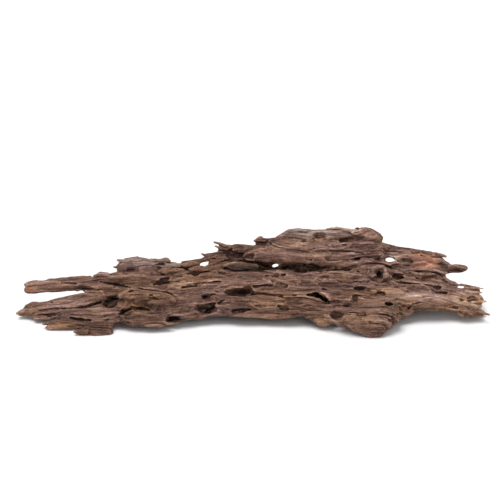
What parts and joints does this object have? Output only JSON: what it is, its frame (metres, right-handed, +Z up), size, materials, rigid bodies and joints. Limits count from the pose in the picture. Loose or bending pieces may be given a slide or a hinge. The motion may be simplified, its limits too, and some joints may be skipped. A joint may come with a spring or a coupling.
{
  "type": "honeycomb wood",
  "caption": "Long shard of weathered driftwood, bored through like honeycomb, that lies on its own lumps as decor for a terrarium or a shelf.",
  "frame": {"origin": "middle of the outline on the surface that the wood lies on", "axes": "+X along the grain to the end with the short prong, +Y away from the side that the picture shows, +Z up"},
  "size_m": [0.4674, 0.1606, 0.071],
  "materials": {
    "wood": "matte"
  },
  "bodies": {
    "root": {"trunk": "wood", "upper_left_prong": "wood", "lower_left_prong": "wood", "right_prong": "wood"}
  },
  "joints": []
}
